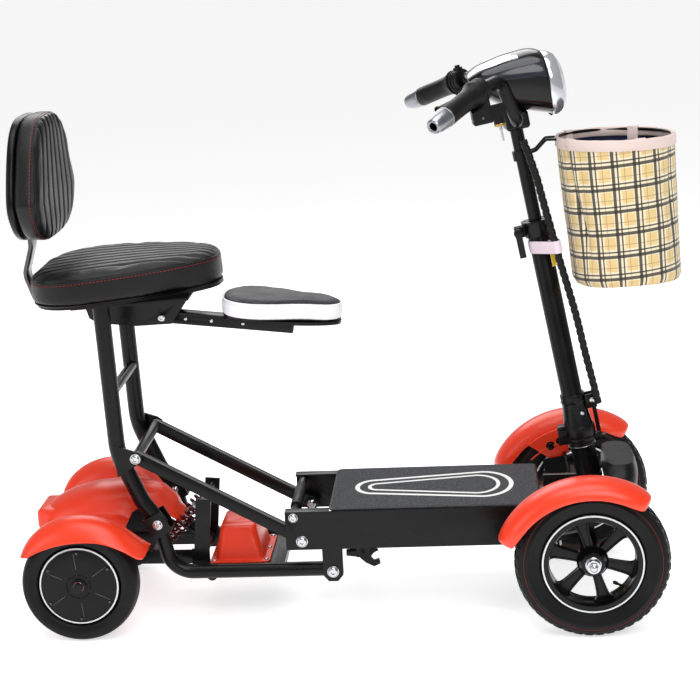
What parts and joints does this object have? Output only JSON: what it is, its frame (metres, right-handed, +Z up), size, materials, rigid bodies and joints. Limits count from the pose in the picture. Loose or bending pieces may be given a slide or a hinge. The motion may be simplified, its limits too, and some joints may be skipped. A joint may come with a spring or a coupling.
{
  "type": "mobility scooter",
  "caption": "Folding four-wheel electric mobility scooter with seat, child seat, raked tiller and cloth basket.",
  "frame": {"origin": "on the ground, half way along the scooter's length, in its middle plane", "axes": "+X forward (direction of travel), +Y the rider's left, +Z up"},
  "size_m": [1.1175, 0.5176, 0.9366],
  "materials": {
    "frame_black": "satin",
    "body_red": "gloss",
    "tyre_black": "matte",
    "rim_black": "satin",
    "hub_black": "satin",
    "chrome": "polished",
    "steel": "brushed",
    "grip_tape": "rough",
    "grip_rubber": "matte",
    "aluminium_cap": "satin",
    "plastic_black": "matte",
    "head_gloss": "gloss",
    "lens_clear": "clear",
    "lens_red": "gloss",
    "seat_vinyl": "satin",
    "child_vinyl": "satin",
    "basket_cloth": "woven",
    "cable_black": "matte",
    "spring_steel": "gloss"
  },
  "bodies": {
    "chassis": {"deck_box": "frame_black", "battery_pack": "plastic_black", "footplate": "grip_tape", "carry_handle": "grip_rubber", "pivot_bolts": "chrome", "front_beam": "frame_black", "front_cover": "plastic_black"},
    "frame_latch": {"frame_latch": "frame_black"},
    "lower_frame": {"lower_frame": "frame_black", "controller_cover": "body_red", "rear_body": "body_red", "tail_lens": "lens_red", "seat_hinge_bolts": "chrome"},
    "rear_suspension": {"swing_arm": "frame_black", "shock_springs": "spring_steel"},
    "rear_wheel_left": {"hub_motor_left": "hub_black", "rear_tyre_left": "tyre_black"},
    "rear_wheel_right": {"hub_motor_right": "hub_black", "rear_tyre_right": "tyre_black"},
    "link_bars": {"link_bars": "frame_black"},
    "seat_frame": {"seat_frame": "frame_black", "link_lug_bolts": "chrome", "seat_bracket": "frame_black", "seat_base": "plastic_black", "seat_pad": "seat_vinyl", "backrest_strap": "steel", "backrest_shell": "plastic_black", "backrest_pad": "seat_vinyl"},
    "child_seat": {"child_seat_arm": "frame_black", "child_seat_base": "plastic_black", "child_seat_pad": "child_vinyl"},
    "steering_column": {"steering_column": "frame_black"},
    "tie_rods": {"tie_rods": "steel"},
    "knuckle_left": {"knuckle_left": "frame_black", "front_fender_left": "body_red"},
    "knuckle_right": {"knuckle_right": "frame_black", "front_fender_right": "body_red"},
    "front_wheel_left": {"front_rim_left": "rim_black", "front_tyre_left": "tyre_black"},
    "front_wheel_right": {"front_rim_right": "rim_black", "front_tyre_right": "tyre_black"},
    "tiller": {"tiller_tube": "frame_black", "stem_clamp": "plastic_black"},
    "tiller_latch": {"tiller_latch": "frame_black"},
    "clamp_lever": {"clamp_lever": "frame_black"},
    "stem": {"stem_tube": "frame_black", "handlebar": "frame_black", "grip_left": "grip_rubber", "bar_end_caps": "aluminium_cap", "throttle_housing": "plastic_black", "brake_housing": "plastic_black", "head_unit": "head_gloss", "head_lens": "lens_clear", "basket": "basket_cloth", "basket_hanger": "frame_black", "cable_harness": "cable_black"},
    "throttle_grip": {"throttle_grip": "grip_rubber"},
    "brake_lever": {"brake_lever": "frame_black"},
    "key": {"key": "chrome"},
    "horn_button": {"horn_button": "body_red"}
  },
  "joints": [
    {"name": "frame_fold", "type": "hinge", "parent": "chassis", "child": "lower_frame", "pos_m": [-0.041, 0, 0.086], "axis": [0, -1, 0], "range_deg": [0, 90]},
    {"name": "link_bar_hinge", "type": "hinge", "parent": "chassis", "child": "link_bars", "pos_m": [-0.091, 0, 0.141], "axis": [0, -1, 0], "range_deg": [0, 93.8]},
    {"name": "seat_frame_hinge", "type": "hinge", "parent": "lower_frame", "child": "seat_frame", "pos_m": [-0.334, 0, 0.177], "axis": [0, -1, 0], "range_deg": [-47.9, 0]},
    {"name": "frame_latch_turn", "type": "hinge", "parent": "chassis", "child": "frame_latch", "pos_m": [0.004, 0, 0.079], "axis": [0, 1, 0], "range_deg": [0, 25], "stiffness_Nm_per_rad": 0.5},
    {"name": "rear_suspension_travel", "type": "hinge", "parent": "lower_frame", "child": "rear_suspension", "pos_m": [-0.275, 0, 0.096], "axis": [0, 1, 0], "range_deg": [0, 2.5], "stiffness_Nm_per_rad": 400, "springref_deg": -11.46, "deforming": ["shock_springs"]},
    {"name": "rear_wheel_left_spin", "type": "hinge", "parent": "rear_suspension", "child": "rear_wheel_left", "pos_m": [-0.46, 0.171, 0.0985], "axis": [0, 1, 0], "continuous": true},
    {"name": "rear_wheel_right_spin", "type": "hinge", "parent": "rear_suspension", "child": "rear_wheel_right", "pos_m": [-0.46, -0.171, 0.0985], "axis": [0, 1, 0], "continuous": true},
    {"name": "child_seat_fold", "type": "hinge", "parent": "seat_frame", "child": "child_seat", "pos_m": [-0.316, 0, 0.517], "axis": [0, -1, 0], "range_deg": [-50, 0]},
    {"name": "steering", "type": "hinge", "parent": "chassis", "child": "steering_column", "pos_m": [0.3985, 0, 0.205], "axis": [-0.1771, 0, 0.9842], "range_deg": [-18, 18]},
    {"name": "tie_rod_swing", "type": "hinge", "parent": "steering_column", "child": "tie_rods", "pos_m": [0.35661, 0, 0.13853], "axis": [-0.1771, 0, 0.9842], "range_deg": [-18.5, 18.5]},
    {"name": "knuckle_left_turn", "type": "hinge", "parent": "chassis", "child": "knuckle_left", "pos_m": [0.389, 0.14, 0.127], "axis": [-0.1771, 0, 0.9842], "range_deg": [-18.5, 18.5]},
    {"name": "knuckle_right_turn", "type": "hinge", "parent": "chassis", "child": "knuckle_right", "pos_m": [0.389, -0.14, 0.127], "axis": [-0.1771, 0, 0.9842], "range_deg": [-18.5, 18.5]},
    {"name": "front_wheel_left_spin", "type": "hinge", "parent": "knuckle_left", "child": "front_wheel_left", "pos_m": [0.389, 0.205, 0.127], "axis": [0, 1, 0], "continuous": true},
    {"name": "front_wheel_right_spin", "type": "hinge", "parent": "knuckle_right", "child": "front_wheel_right", "pos_m": [0.389, -0.205, 0.127], "axis": [0, 1, 0], "continuous": true},
    {"name": "tiller_fold", "type": "hinge", "parent": "steering_column", "child": "tiller", "pos_m": [0.35723, 0, 0.28191], "axis": [0, 1, 0], "range_deg": [-40, 0]},
    {"name": "tiller_latch_lift", "type": "hinge", "parent": "tiller", "child": "tiller_latch", "pos_m": [0.40493, 0, 0.34434], "axis": [0, -1, 0], "range_deg": [0, 75]},
    {"name": "stem_height", "type": "slide", "parent": "tiller", "child": "stem", "axis": [-0.1771, 0, 0.9842], "range_m": [-0.09, 0], "deforming": ["cable_harness"]},
    {"name": "clamp_lever_open", "type": "hinge", "parent": "tiller", "child": "clamp_lever", "pos_m": [0.28873, 0, 0.63435], "axis": [0, 1, 0], "range_deg": [0, 80]},
    {"name": "throttle_twist", "type": "hinge", "parent": "stem", "child": "throttle_grip", "pos_m": [0.1777, -0.2246, 0.85568], "axis": [0.4992, 0.8197, 0.2809], "range_deg": [-60, 0], "stiffness_Nm_per_rad": 0.4},
    {"name": "brake_squeeze", "type": "hinge", "parent": "stem", "child": "brake_lever", "pos_m": [0.22202, 0.1227, 0.86315], "axis": [-0.1771, 0, 0.9842], "range_deg": [0, 14], "stiffness_Nm_per_rad": 2},
    {"name": "key_turn", "type": "hinge", "parent": "stem", "child": "key", "pos_m": [0.26145, -0.11515, 0.83062], "axis": [-0.1771, 0, 0.9842], "range_deg": [0, 90]},
    {"name": "horn_press", "type": "slide", "parent": "stem", "child": "horn_button", "axis": [0.1771, 0, -0.9842], "range_m": [0, 0.003], "stiffness_N_per_m": 300}
  ],
  "couplings": [
    {"joint": "link_bar_hinge", "follows": "frame_fold", "ratio": 1.04},
    {"joint": "seat_frame_hinge", "follows": "frame_fold", "ratio": -0.53},
    {"joint": "tie_rod_swing", "follows": "steering", "ratio": -1},
    {"joint": "knuckle_left_turn", "follows": "steering", "ratio": 1},
    {"joint": "knuckle_right_turn", "follows": "steering", "ratio": 1}
  ]
}
